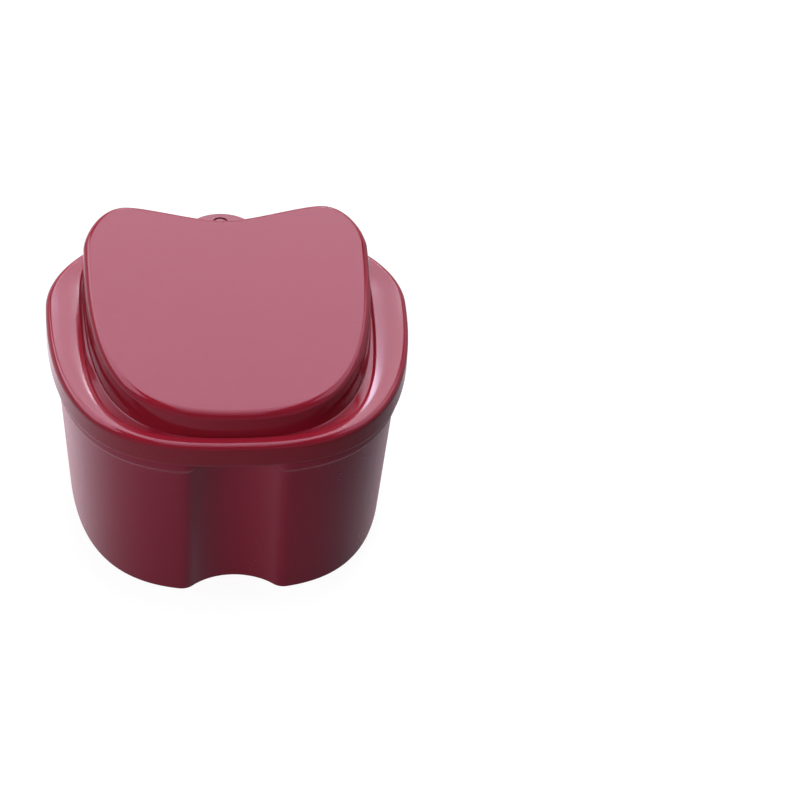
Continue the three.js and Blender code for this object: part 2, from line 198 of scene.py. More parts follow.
class DentureCaseFinish(bpy.types.PropertyGroup):
    """Colours and gloss of the plastics. The values of one plastic start with its name."""
    tub_colour: paint("Tub colour", "Colour of the tub's plastic", (0.300, 0.012, 0.027))
    lid_colour: paint("Lid colour", "Colour of the lid's plastic", (0.310, 0.014, 0.029))
    basket_colour: paint("Basket colour", "Colour of the basket and its handle", (0.80, 0.79, 0.76))
    tub_gleam: paint("Tub gleam", "Colour of what the tub mirrors", (0.45, 0.38, 0.58))
    lid_gleam: paint("Lid gleam", "Colour of what the lid mirrors", (0.32, 0.28, 0.34))
    basket_gleam: paint("Basket gleam", "Colour of what the basket mirrors", (1, 1, 1))
    tub_roughness: factor("Tub roughness", "Roughness of the satin tub", 0.24)
    lid_roughness: factor("Lid roughness", "Roughness of the polished lid", 0.10)
    basket_roughness: factor("Basket roughness", "Roughness of the basket", 0.38)
    tub_peel: factor("Tub orange peel", "Strength of the tub's surface waviness", 0.10)
    lid_peel: factor("Lid orange peel", "Strength of the lid's surface waviness", 0.05)
    basket_peel: factor("Basket orange peel", "Strength of the basket's surface waviness", 0.10)
    tub_scuffs: factor("Tub scuffs", "How pale the tub's scuffs are", 0.02)
    lid_scuffs: factor("Lid scuffs", "How pale the lid's scuffs are", 0.008)
    basket_scuffs: factor("Basket scuffs", "How pale the basket's scuffs are", 0)
    scuff_dulling: factor("Scuff dulling", "How much rougher a scuff is", 0.12)
    mottle: factor("Mottle", "How far the colours stray from even", 0.04)
    gloss_spread: factor("Gloss spread", "How far the roughness strays from even", 0.15)


class DentureCaseStage(bpy.types.PropertyGroup):
    """Camera, floor, lamps and surroundings."""
    camera_place: FloatVectorProperty(name="Camera place", description="Where the camera stands", size=3,
                                      subtype="TRANSLATION", unit="LENGTH",
                                      default=(-0.0363, -0.6137, 0.5195))
    heading: turning("Heading", "Turn of the camera to the right of +Y", 7.695)
    pitch: turning("Pitch", "How far the camera looks down", 38.66)
    roll: turning("Roll", "Turn of the camera about its own axis", 3.96)
    lens: FloatProperty(name="Lens", description="Focal length", default=132.74, unit="CAMERA")
    lamp_distance: length("Lamp distance", "From each lamp to the case", 1.6)
    lamp_aim: length("Lamp aim", "Height above the floor that the lamps point at", 0.04)
    floor_size: length("Floor size", "Width of the floor", 12)
    floor_white: factor("Floor white", "Lightness of the floor", 0.18)
    floor_lift: factor("Floor lift", "How much lighter the camera sees the floor", 0.93)
    # Painted reflection light and shade: only in reflections, the floor glows lighter to the left of the case
    # and darker to the right, in the mirror tint.
    mirror_reach: length("Mirror reach", "How far to each side the mirrored floor changes", 0.12)
    painted_reflection_left: slant("Mirror left", "Lightness of the mirrored floor to the left of the case", 1.2)
    painted_reflection_right: slant("Mirror right", "Lightness of the mirrored floor to the right of the case", 0.22)
    mirror_tint: paint("Mirror tint", "Colour of the mirrored floor and walls", (1, 0.76, 0.86))
    world_fill: factor("World fill", "Strength of the light from the surroundings", 0.06)
    walls_top: slant("Walls top", "Sine of the rise at which the white walls start to darken", 0.35)
    ceiling_edge: slant("Ceiling edge", "Sine of the rise from which all is ceiling", 0.60)
    ceiling_white: factor("Ceiling white", "Lightness of the ceiling", 0.1)


# Outlines. Each is a closed run of points from the front middle round the +X side and back.

FINE_STEPS = 12  # finer steps along the front curve that the groove is pressed into
HOLLOW_SHARE = 0.6  # share of the groove's edges that lie in its hollow


def curve_points(start, handle_a, handle_b, end, steps):
    return interpolate_bezier(Vector(start), Vector(handle_a), Vector(handle_b), Vector(end), steps + 1)


def mirrored(half):
    return half + [Vector((-p.x, p.y)) for p in reversed(half[1:-1])]


def front_handles(half_width, front, widest, part):
    return ((0, -front), (part[0] * half_width, -front),
            (half_width, widest - part[1] * (widest + front)), (half_width, widest))


def rear_handles(half_width, rear, widest, part):
    return ((half_width, widest), (half_width, widest + part[0] * (rear - widest)),
            (part[1] * half_width, rear), (0, rear))


def case_outline(side_inset, end_inset):
    case = bpy.context.scene.denture_case_outline
    half_width = case.width / 2 - side_inset
    front = curve_points(*front_handles(half_width, case.front - end_inset, case.widest, case.front_shares),
                         case.front_steps + groove_points())
    rear = curve_points(*rear_handles(half_width, case.rear - end_inset, case.widest, case.rear_shares),
                        case.rear_steps)
    return mirrored(front + rear[1:])


def groove_points():
    return bpy.context.scene.denture_case_tub.groove_steps


def height_on(points, x):
    """The y of a front curve at an x, between its points."""
    for a, b in zip(points, points[1:]):
        if a.x <= x <= b.x:
            return a.y + (b.y - a.y) * (x - a.x) / (b.x - a.x)
    return points[-1].y


def grooved_outline(side_inset, end_inset, wall_inset):
    """The case outline with the finger groove pressed into its front."""
    case = bpy.context.scene.denture_case_outline
    tub = bpy.context.scene.denture_case_tub
    half_width = case.width / 2 - side_inset
    handles = front_handles(half_width, case.front - end_inset, case.widest, case.front_shares)
    fine = curve_points(*handles, FINE_STEPS * case.front_steps)
    hollow = tub.groove_radius + wall_inset
    corner = max(tub.groove_corner - wall_inset, tub.groove_corner / 10)
    depth = tub.groove_depth
    reach = math.sqrt(depth * (2 * (hollow + corner) - depth))
    sweep = math.asin(reach / (hollow + corner))
    inner_steps = round(tub.groove_steps * HOLLOW_SHARE)
    corner_steps = tub.groove_steps - inner_steps
    half = []
    for i in range(inner_steps + 1):
        angle = sweep * i / inner_steps
        x = hollow * math.sin(angle)
        half.append(Vector((x, height_on(fine, x) + depth - hollow * (1 - math.cos(angle)))))
    for i in range(1, corner_steps):
        angle = sweep * (1 - i / corner_steps)
        x = reach - corner * math.sin(angle)
        half.append(Vector((x, height_on(fine, x) + corner * (1 - math.cos(angle)))))
    start = next(i for i, p in enumerate(fine) if p.x >= reach)
    rest = fine[start:]
    for i in range(case.front_steps + 1):
        place = i / case.front_steps * (len(rest) - 1)
        low = min(int(place), len(rest) - 2)
        half.append(rest[low].lerp(rest[low + 1], place - low))
    rear = curve_points(*rear_handles(half_width, case.rear - end_inset, case.widest, case.rear_shares),
                        case.rear_steps)
    return mirrored(half + rear[1:])


def wall_insets(height):
    """How far the tub's outer face lies inside the rim at a height, at the sides and at the ends."""
    tub = bpy.context.scene.denture_case_tub
    lid = bpy.context.scene.denture_case_lid
    down = 1 - height / bead_bottom()
    collar = lid.wall + lid.fit
    return collar + tub.side_draft * down, collar + tub.end_draft * down


def tub_outline(height, inset):
    side, end = wall_insets(min(height, bead_bottom()))
    return grooved_outline(side + inset, end + inset, inset)


def basket_rim():
    scene = bpy.context.scene
    flange = scene.denture_case_basket.flange_thickness
    return scene.denture_case_tub.height + scene.denture_case_lid.seat_gap + flange


def rim_top():
    lid = bpy.context.scene.denture_case_lid
    return basket_rim() + lid.seat_gap + lid.rim_thickness


def skirt_bottom():
    return rim_top() - bpy.context.scene.denture_case_lid.skirt_height


def bead_top():
    return skirt_bottom() - bpy.context.scene.denture_case_lid.seat_gap


def bead_bottom():
    return bead_top() - bpy.context.scene.denture_case_tub.bead_height


def channel_sizes():
    case = bpy.context.scene.denture_case_outline
    lid = bpy.context.scene.denture_case_lid
    return case.width / 2 - lid.side_band, case.front - lid.front_band, case.rear - lid.rear_band


def channel_outline(inset):
    case = bpy.context.scene.denture_case_outline
    lid = bpy.context.scene.denture_case_lid
    width, front, rear = (size - inset for size in channel_sizes())
    half = curve_points(*front_handles(width, front, lid.channel_widest, lid.channel_front_shares),
                        case.front_steps + groove_points())
    half += curve_points(*rear_handles(width, rear, lid.channel_widest, lid.channel_rear_shares),
                         case.rear_steps)[1:]
    return mirrored(half)


def heart_outline(inset, lean=0):
    """The raised top's outline at its foot, or further in with a front that leans back."""
    case = bpy.context.scene.denture_case_outline
    lid = bpy.context.scene.denture_case_lid
    width, front, rear = channel_sizes()
    width -= lid.side_channel + inset
    front -= lid.front_channel + inset + lean
    lobe = rear - lid.lobe_channel - inset
    notch = lobe - lid.notch_depth
    widest, place = lid.top_widest, lid.lobe_place
    half = curve_points(*front_handles(width, front, widest, lid.heart_front_shares),
                        case.front_steps + groove_points())
    half += curve_points((width, widest), (width, widest + lid.heart_side_shares[0] * (lobe - widest)),
                         (place + lid.heart_side_shares[1] * (width - place), lobe), (place, lobe),
                         lid.lobe_steps)[1:]
    half += curve_points((place, lobe), (place * (1 - lid.heart_notch_shares[0]), lobe),
                         (place * lid.heart_notch_shares[1], notch), (0, notch),
                         case.rear_steps - lid.lobe_steps)[1:]
    return mirrored(half)


def sloped(outline):
    """The outline on the raised top's slope, as heights above the rim."""
    lid = bpy.context.scene.denture_case_lid
    heart_front = channel_sizes()[1] - lid.front_channel - lid.front_lean
    return [Vector((p.x, p.y, lid.top_rise + lid.top_slope * (p.y + heart_front))) for p in outline]


def crowned(outer, inner, share):
    """A line across the flat rim, which falls a little towards the channel."""
    crown = bpy.context.scene.denture_case_lid.rim_crown
    return [Vector((*a.lerp(b, share), -crown * (a - b).length * share * (1 + share) / 2))
            for a, b in zip(outer, inner)]


# Modelling with rings of edges

MERGE_DISTANCE = 1e-6  # metres between points that are one
ROUND_MIDDLE = 0.25  # inset halfway round the rounding at a floor, as a share of its radius


def level(outline, height, radius=0, segments=3):
    """One ring of a shell: its outline, its height, and the rounding of the edge along it."""
    return outline, height, radius, segments


def place_ring(ring, outline, height):
    for vert, p in zip(ring, outline):
        vert.co = (p.x, p.y, height + p.z if len(p) > 2 else height)


def extruded_ring(mesh, ring):
    """Extrudes a closed ring of edges and returns the new ring in the same order."""
    edges = [mesh.edges.get((a, b)) for a, b in zip(ring, ring[1:] + ring[:1])]
    made = bmesh.ops.extrude_edge_only(mesh, edges=edges)["geom"]
    new = {v for v in made if isinstance(v, bmesh.types.BMVert)}
    return [next(e.other_vert(v) for e in v.link_edges if e.other_vert(v) in new) for v in ring]


def soften(mesh, ring, radius, segments):
    edges = [mesh.edges.get((a, b)) for a, b in zip(ring, ring[1:] + ring[:1])]
    bmesh.ops.bevel(mesh, geom=edges, offset=radius, offset_type="OFFSET", segments=segments, profile=0.5,
                    affect="EDGES", material=-1, loop_slide=False, clamp_overlap=False)


def skin(levels):
    """Closed shell through rings of edges at levels, in their order."""
    mesh = bmesh.new()
    ring = bmesh.ops.create_circle(mesh, segments=len(levels[0][0]), radius=1)["verts"]
    made = []
    for number, (outline, height, _, _) in enumerate(levels):
        if number:
            ring = extruded_ring(mesh, ring)
        place_ring(ring, outline, height)
        made.append(ring)
    bmesh.ops.holes_fill(mesh, edges=mesh.edges, sides=0)
    bmesh.ops.recalc_face_normals(mesh, faces=mesh.faces)
    for ring, (_, _, radius, segments) in zip(made, levels):
        if radius:
            soften(mesh, ring, radius, segments)
    return mesh


def bar(mesh, radius, reach, matrix, sides=32):
    """Round bar about the middle, drawn along Z and laid by a matrix."""
    return bmesh.ops.create_cone(mesh, cap_ends=True, segments=sides, radius1=radius, radius2=radius,
                                 depth=reach, matrix=matrix)["verts"]


def centre_shift():
    case = bpy.context.scene.denture_case_outline
    lid = bpy.context.scene.denture_case_lid
    return Vector((0, (case.front - case.rear - lid.tab_reach) / 2, 0))


def new_piece(name, mesh, shift=True):
    if shift:
        bmesh.ops.translate(mesh, verts=mesh.verts, vec=centre_shift())
    bmesh.ops.recalc_face_normals(mesh, faces=mesh.faces)
    data = bpy.data.meshes.new(name)
    mesh.to_mesh(data)
    mesh.free()
    piece = bpy.data.objects.new(name, data)
    bpy.context.scene.collection.objects.link(piece)
    return piece


def with_boolean(piece, tool, operation):
    """Cuts or joins with a tool object, which is then removed."""
    modifier = piece.modifiers.new("Cut", "BOOLEAN")
    modifier.operation = operation
    modifier.solver = "EXACT"
    modifier.object = tool
    seen = piece.evaluated_get(bpy.context.evaluated_depsgraph_get())
    data = bpy.data.meshes.new_from_object(seen)
    piece.modifiers.clear()
    old = piece.data
    piece.data = data
    data.name = piece.name
    bpy.data.meshes.remove(old)
    bpy.data.objects.remove(tool)
    mesh = bmesh.new()
    mesh.from_mesh(data)
    bmesh.ops.remove_doubles(mesh, verts=mesh.verts, dist=MERGE_DISTANCE)
    bmesh.ops.dissolve_degenerate(mesh, edges=mesh.edges, dist=MERGE_DISTANCE)
    mesh.to_mesh(data)
    mesh.free()


def smooth(piece, angle=35):
    """Smooth shading that stays flat on flat faces and breaks at sharp edges."""
    piece.data.shade_smooth()
    piece.data.set_sharp_from_angle(angle=math.radians(angle))
    weights = piece.modifiers.new("Weighted normals", "WEIGHTED_NORMAL")
    weights.keep_sharp = True


def finish_piece(piece, body, node, material):
    piece.data.materials.clear()
    piece.data.materials.append(material)
    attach(piece, body)
    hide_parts(node)


# Materials. Scales are in steps per metre, and the patterns lie in each piece's own coordinates.

PLASTIC_IOR = 1.50
SCUFF_WHITE = 0.7  # lightness of a scuff at full strength
HAIR_TURN = (0.3, 0.5, 0.4)  # radians
HAIR_SCALE = (260, 900, 700)
PEEL_HEIGHT = 0.0001  # metres


def plastic(name):
    """Moulded plastic: even colour, a faint orange peel, and light scuffs that dull the gloss."""
    finish = bpy.context.scene.denture_case_finish
    colour = getattr(finish, name + "_colour")
    scuffs = getattr(finish, name + "_scuffs")
    roughness = getattr(finish, name + "_roughness")
    material, nodes, links = empty_material(name + "_plastic")
    shader = nodes.new("ShaderNodeBsdfPrincipled")
    shader.inputs["IOR"].default_value = PLASTIC_IOR
    shader.inputs["Specular Tint"].default_value = (*getattr(finish, name + "_gleam"), 1)
    links.new(shader.outputs["BSDF"], nodes.new("ShaderNodeOutputMaterial").inputs["Surface"])
    place = nodes.new("ShaderNodeTexCoord").outputs["Object"]

    scuff = scuff_mask(nodes, links, place)
    tone = noise(nodes, links, place, scale=45, detail=3)
    darker = (*[c * (1 - finish.mottle) for c in colour], 1)
    lighter = (*[c * (1 + finish.mottle) for c in colour], 1)
    scuffed = (*[c + (SCUFF_WHITE - c) * scuffs for c in colour], 1)
    mottled = blended(nodes, links, tone, darker, lighter)
    links.new(blended(nodes, links, scuff, mottled, scuffed), shader.inputs["Base Color"])

    cloud = noise(nodes, links, place, scale=60, detail=4)
    gloss = mapped(nodes, links, cloud, start=0, end=1, low=roughness * (1 - finish.gloss_spread),
                   high=roughness * (1 + finish.gloss_spread))
    dulled = joined(nodes, links, "MULTIPLY_ADD", scuff, finish.scuff_dulling, gloss)
    links.new(dulled, shader.inputs["Roughness"])

    bump = nodes.new("ShaderNodeBump")
    bump.inputs["Strength"].default_value = getattr(finish, name + "_peel")
    bump.inputs["Distance"].default_value = PEEL_HEIGHT
    links.new(noise(nodes, links, place, scale=420), bump.inputs["Height"])
    links.new(bump.outputs["Normal"], shader.inputs["Normal"])
    return material


def scuff_mask(nodes, links, place):
    """Short hair-fine scratches that stand together in patches."""
    stretch = nodes.new("ShaderNodeMapping")
    stretch.inputs["Rotation"].default_value = HAIR_TURN
    stretch.inputs["Scale"].default_value = HAIR_SCALE
    links.new(place, stretch.inputs["Vector"])
    hairs = noise(nodes, links, stretch.outputs["Vector"], scale=1)
    hair = mapped(nodes, links, hairs, start=0.66, end=0.72)
    patch = mapped(nodes, links, noise(nodes, links, place, scale=70), start=0.56, end=0.70)
    return joined(nodes, links, "MULTIPLY", hair, patch)


def stage_white(name, stage):
    """Matt white that keeps shadows; its lift is seen by the camera and in reflections only. In reflections
    the lift is painted light and shade, lighter to the left of the case and darker to the right, in the
    mirror tint.
    """
    material, nodes, links = empty_material(name)
    matt = nodes.new("ShaderNodeBsdfDiffuse")
    matt.inputs["Color"].default_value = (stage.floor_white, stage.floor_white, stage.floor_white, 1)
    place = nodes.new("ShaderNodeSeparateXYZ")
    links.new(nodes.new("ShaderNodeTexCoord").outputs["Object"], place.inputs["Vector"])
    # Painted reflection light and shade across X: the glow that reflections see runs from lighter at the left
    # to darker at the right.
    mirrored_share = mapped(nodes, links, place.outputs["X"], -stage.mirror_reach, stage.mirror_reach,
                            stage.painted_reflection_left, stage.painted_reflection_right, smooth_ends=True)
    glow = nodes.new("ShaderNodeEmission")
    # Painted reflection colour: reflections see the floor's glow tinted, the camera sees it white.
    links.new(seen_colour(nodes, links, stage.mirror_tint), glow.inputs["Color"])
    links.new(seen_rays(nodes, links, stage.floor_lift, mirrored_share), glow.inputs["Strength"])
    both = nodes.new("ShaderNodeAddShader")
    links.new(matt.outputs["BSDF"], both.inputs[0])
    links.new(glow.outputs["Emission"], both.inputs[1])
    links.new(both.outputs["Shader"], nodes.new("ShaderNodeOutputMaterial").inputs["Surface"])
    return material


def seen_rays(nodes, links, strength, mirrored_share=1):
    """A strength for camera rays, its mirrored share for glossy and transmission rays, and no light."""
    path = nodes.new("ShaderNodeLightPath").outputs
    reflected = joined(nodes, links, "MAXIMUM", path["Is Glossy Ray"], path["Is Transmission Ray"])
    dimmed = joined(nodes, links, "MULTIPLY", reflected, mirrored_share)
    seen = joined(nodes, links, "MAXIMUM", path["Is Camera Ray"], dimmed)
    return joined(nodes, links, "MULTIPLY", seen, strength)


def seen_colour(nodes, links, tint):
    """White for camera rays and a faint tint for all others."""
    camera_ray = nodes.new("ShaderNodeLightPath").outputs["Is Camera Ray"]
    return blended(nodes, links, camera_ray, (*tint, 1), (1, 1, 1, 1))


# Nodes

def empty_material(name):
    material = bpy.data.materials.get(name) or bpy.data.materials.new(name)
    material.use_nodes = True
    material.node_tree.nodes.clear()
    return material, material.node_tree.nodes, material.node_tree.links


def feed(links, socket, value):
    """Links a socket to another one, or gives it a plain value."""
    if isinstance(value, bpy.types.NodeSocket):
        links.new(value, socket)
    else:
        socket.default_value = value


def noise(nodes, links, vector, scale, detail=2):
    node = nodes.new("ShaderNodeTexNoise")
    node.inputs["Scale"].default_value = scale
    node.inputs["Detail"].default_value = detail
    links.new(vector, node.inputs["Vector"])
    return node.outputs["Fac"]


def mapped(nodes, links, value, start, end, low=0, high=1, smooth_ends=False):
    """A value that goes from low at the start to high at the end."""
    node = nodes.new("ShaderNodeMapRange")
    if smooth_ends:
        node.interpolation_type = "SMOOTHSTEP"
    for name, number in (("From Min", start), ("From Max", end), ("To Min", low), ("To Max", high)):
        node.inputs[name].default_value = number
    links.new(value, node.inputs["Value"])
    return node.outputs["Result"]


def blended(nodes, links, share, first, second, blend="MIX"):
    """The output of a colour mix of sockets or plain colours."""
    node = nodes.new("ShaderNodeMix")
    node.data_type = "RGBA"
    node.blend_type = blend
    for name, value in (("Factor", share), ("A", first), ("B", second)):
        feed(links, node.inputs[name], value)
    return node.outputs["Result"]


def joined(nodes, links, operation, *values):
    """The output of a math node on sockets or plain numbers."""
    node = nodes.new("ShaderNodeMath")
    node.operation = operation
    for socket, value in zip(node.inputs, values):
        feed(links, socket, value)
    return node.outputs["Value"]


# Pieces

class DENTURE_CASE_OT_tub(bpy.types.Operator):
    """Model the tub with its finger groove, bead and collar"""
    bl_idname = "denture_case.tub"
    bl_label = "Make Tub"

    def execute(self, context):
        tub = context.scene.denture_case_tub
        slope = tub.bead_proud / 2
        small = tub.edge_radius
        low, high = bead_bottom(), bead_top()
        radius = tub.floor_radius
        middle = ROUND_MIDDLE * radius
        levels = [
            level(tub_outline(0, 0), 0, tub.base_radius, segments=5),
            level(tub_outline(low - slope, 0), low - slope, small),
            level(tub_outline(low, -tub.bead_proud), low + slope, small),
            level(tub_outline(low, -tub.bead_proud), high, tub.bead_round, segments=6),
            level(tub_outline(low, 0), high, small / 2, segments=2),
            level(tub_outline(tub.height, 0), tub.height, small),
            level(tub_outline(tub.height, tub.wall), tub.height, small),
            level(tub_outline(low, tub.wall), low),
            level(tub_outline(tub.floor + radius, tub.wall), tub.floor + radius),
            level(tub_outline(tub.floor, tub.wall + middle), tub.floor + middle),
            level(tub_outline(tub.floor, tub.wall + radius), tub.floor),
        ]
        piece = new_piece("tub_shell", skin(levels))
        smooth(piece)
        finish_piece(piece, "tub", "tub", plastic("tub"))
        return {"FINISHED"}


RIM_SHARES = (0.15, 0.3, 0.45, 0.6)  # places of the lines between the rim's rounding and the channel


class DENTURE_CASE_OT_lid(bpy.types.Operator):
    """Model the lid with its skirt, rim, channel, raised top and lift tab"""
    bl_idname = "denture_case.lid"
    bl_label = "Make Lid"

    def execute(self, context):
        lid = context.scene.denture_case_lid
        small = lid.edge_radius
        top = rim_top()
        underside = top - lid.rim_thickness
        floor = top - lid.channel_depth
        radius = lid.rim_radius
        rim, channel = case_outline(radius, radius), channel_outline(0)
        ceiling = sloped(heart_outline(lid.wall + lid.top_draft, lid.front_lean))
        plateau = sloped(heart_outline(lid.top_draft, lid.front_lean))
        levels = [
            level(ceiling, top - lid.wall, lid.top_radius - small),
            level(heart_outline(lid.wall), underside, small, segments=2),
            level(case_outline(lid.wall, lid.wall), underside, small, segments=2),
            level(case_outline(lid.wall, lid.wall), skirt_bottom(), small / 2, segments=2),
            level(case_outline(0, 0), skirt_bottom(), small),
            *self.rim_rounding(radius, top),
            *[level(crowned(rim, channel, share), top) for share in RIM_SHARES],
            level(crowned(rim, channel, 1), top, lid.channel_edge, segments=4),
            level(channel, floor, small),
            level(heart_outline(0), floor, small),
            level(plateau, top, lid.top_radius, segments=10),
        ]
        piece = new_piece("lid_shell", skin(levels))
        with_boolean(piece, self.tab(context), "UNION")
        with_boolean(piece, self.mark(context), "DIFFERENCE")
        smooth(piece)
        finish_piece(piece, "lid", "lid", plastic("lid"))
        return {"FINISHED"}

    def rim_rounding(self, radius, top, steps=10):
        """Levels of the rounding from the skirt up to the flat rim."""
        turns = [math.radians(90 * i / steps) for i in range(steps + 1)]
        insets = [radius * (1 - math.cos(turn)) for turn in turns]
        heights = [top - radius * (1 - math.sin(turn)) for turn in turns]
        return [level(case_outline(inset, inset), height) for inset, height in zip(insets, heights)]

    def tab(self, context):
        """Disc that stands out behind the rim, cut off inside the skirt's wall."""
        case = context.scene.denture_case_outline
        lid = context.scene.denture_case_lid
        mesh = bmesh.new()
        half = lid.tab_thickness / 2
        middle = Vector((0, case.rear + lid.tab_reach - lid.tab_radius, rim_top() - lid.tab_drop - half))
        bar(mesh, lid.tab_radius, lid.tab_thickness, Matrix.Translation(middle), sides=120)
        rims = [e for e in mesh.edges if abs(e.verts[0].co.z - e.verts[1].co.z) < MERGE_DISTANCE]
        bmesh.ops.bevel(mesh, geom=rims, offset=lid.tab_edge, offset_type="OFFSET", segments=5, profile=0.5,
                        affect="EDGES", material=-1)
        cut = bmesh.ops.bisect_plane(mesh, geom=mesh.verts[:] + mesh.edges[:] + mesh.faces[:], dist=1e-7,
                                     plane_co=(0, case.rear - lid.wall / 2, 0), plane_no=(0, -1, 0),
                                     clear_outer=True)
        edges = [e for e in cut["geom_cut"] if isinstance(e, bmesh.types.BMEdge)]
        bmesh.ops.holes_fill(mesh, edges=edges, sides=0)
        return new_piece("tab_tool", mesh)

    def mark(self, context):
        """Ring-shaped cutter for the touch mark on the tab."""
        case = context.scene.denture_case_outline
        lid = context.scene.denture_case_lid
        mesh = bmesh.new()
        half = lid.mark_width / 2
        corners = [(lid.mark_radius - half, -lid.mark_depth), (lid.mark_radius + half, -lid.mark_depth),
                   (lid.mark_radius + half, lid.mark_depth), (lid.mark_radius - half, lid.mark_depth)]
        verts = [mesh.verts.new((x, 0, z)) for x, z in corners]
        edges = [mesh.edges.new(pair) for pair in zip(verts, verts[1:] + verts[:1])]
        bmesh.ops.spin(mesh, geom=[*verts, *edges], cent=(0, 0, 0), axis=(0, 0, 1), angle=2 * math.pi,
                       steps=48, use_merge=True, use_duplicate=False)
        place = Vector((0, case.rear + lid.tab_reach - lid.mark_inset, rim_top() - lid.tab_drop))
        bmesh.ops.translate(mesh, verts=mesh.verts, vec=place)
        return new_piece("mark_tool", mesh)


CUT_THROUGH = 1.1  # length of a cutter as a share of what it passes through


class DENTURE_CASE_OT_basket(bpy.types.Operator):
    """Model the strainer basket with its flange, drain slots and pivot holes"""
    bl_idname = "denture_case.basket"
    bl_label = "Make Basket"

    def execute(self, context):
        tub = context.scene.denture_case_tub
        lid = context.scene.denture_case_lid
        basket = context.scene.denture_case_basket
        gap = tub.wall + basket.gap
        inner = gap + basket.wall
        bottom = tub.floor + basket.lift
        floor = bottom + basket.floor
        radius = tub.floor_radius
        middle = ROUND_MIDDLE * radius
        under = tub.height + lid.seat_gap
        top = basket_rim()
        flange = tub_outline(tub.height, basket.flange_setback)
        levels = [
            level(tub_outline(bottom, gap + radius), bottom),
            level(tub_outline(bottom, gap + middle), bottom + middle),
            level(tub_outline(bottom + radius, gap), bottom + radius),
            level(tub_outline(bead_bottom(), gap), bead_bottom()),
            level(tub_outline(under, gap), under),
            level(flange, under, basket.flange_under),
            level(flange, top, basket.flange_radius),
            level(tub_outline(top, inner), top, basket.flange_radius),
            level(tub_outline(bead_bottom(), inner), bead_bottom()),
            level(tub_outline(bottom, inner), floor + radius),
            level(tub_outline(bottom, inner + middle), floor + middle),
            level(tub_outline(bottom, inner + radius), floor),
        ]
        piece = new_piece("basket_shell", skin(levels))
        with_boolean(piece, self.cutters(context, bottom, inner), "DIFFERENCE")
        smooth(piece)
        rounding = piece.modifiers.new("Slot edges", "BEVEL")
        rounding.width = basket.edge_radius
        rounding.segments = 2
        rounding.limit_method = "ANGLE"
        rounding.angle_limit = math.radians(50)
        rounding.miter_outer = "MITER_ARC"
        piece.modifiers.move(1, 0)
        finish_piece(piece, "basket", "basket", plastic("basket"))
        return {"FINISHED"}

    def slot(self, mesh, width, tall, depth, matrix, sides=16):
        """Bar with round ends, drawn along Z and laid by a matrix."""
        verts = bar(mesh, width / 2, depth, Matrix.Rotation(math.pi / sides, 4, "Z"), sides)
        for vert in verts:
            vert.co.y += math.copysign((tall - width) / 2, vert.co.y)
        bmesh.ops.transform(mesh, matrix=matrix, verts=verts)

    def cutters(self, context, bottom, inner):
        """All the slots and the pivot holes as one cutter."""
        case = context.scene.denture_case_outline
        handle = context.scene.denture_case_handle
        mesh = bmesh.new()
        self.floor_slots(context, mesh, bottom, inner)
        self.wall_slots(context, mesh, bottom)
        across = Matrix.Translation((0, case.widest, pivot_height())) @ Matrix.Rotation(math.pi / 2, 4, "Y")
        bar(mesh, handle.pivot_radius + handle.pivot_gap, case.width, across)
        return new_piece("slot_tool", mesh)

    def floor_slots(self, context, mesh, bottom, inner):
        """Three rows of slots, without those that would leave the floor's plain border."""
        case = context.scene.denture_case_outline
        basket = context.scene.denture_case_basket
        inset = inner + basket.floor_margin
        border = tub_outline(bottom, inset)
        columns = int((case.width / 2 - wall_insets(bottom)[0] - inset) / basket.floor_pitch)
        half = basket.floor_slot / 2
        for row in (-1, 0, 1):
            for column in range(-columns, columns + 1):
                x, y = column * basket.floor_pitch, row * basket.floor_row
                if inside(border, x, y - half) and inside(border, x, y + half):
                    self.slot(mesh, basket.slot_width, basket.floor_slot, 3 * basket.floor,
                              Matrix.Translation((x, y, bottom + basket.floor / 2)))

    def wall_slots(self, context, mesh, bottom):
        """Upright slots that each pass through both side walls, or through the front and the rear."""
        case = context.scene.denture_case_outline
        tub = context.scene.denture_case_tub
        basket = context.scene.denture_case_basket
        low = bottom + basket.wall_bottom
        high = basket_rim() - basket.wall_top
        middle, tall = (low + high) / 2, high - low
        upright = Matrix.Rotation(math.pi / 2, 4, "X")
        sideways = Matrix.Rotation(math.pi / 2, 4, "Z") @ upright
        side_count = int((case.rear - basket.wall_margin - case.widest) / basket.wall_pitch)
        for i in range(-2 * side_count + 1, side_count + 1):
            y = case.widest / 2 + (i - 0.5) * basket.wall_pitch
            self.slot(mesh, basket.slot_width, tall, CUT_THROUGH * case.width,
                      Matrix.Translation((0, y, middle)) @ sideways)
        end_count = int((case.width / 2 - tub.side_draft - 2 * basket.wall_margin) / basket.wall_pitch)
        for i in range(-end_count, end_count + 1):
            self.slot(mesh, basket.slot_width, tall, CUT_THROUGH * (case.front + case.rear),
                      Matrix.Translation((i * basket.wall_pitch, 0, middle)) @ upright)


def inside(outline, x, y):
    """Whether a point lies within a closed outline."""
    found = False
    for a, b in zip(outline, outline[-1:] + outline[:-1]):
        if (a.y > y) != (b.y > y) and x < (b.x - a.x) * (y - a.y) / (b.y - a.y) + a.x:
            found = not found
    return found


def pivot_height():
    scene = bpy.context.scene
    return basket_rim() - scene.denture_case_basket.flange_thickness - scene.denture_case_handle.drop


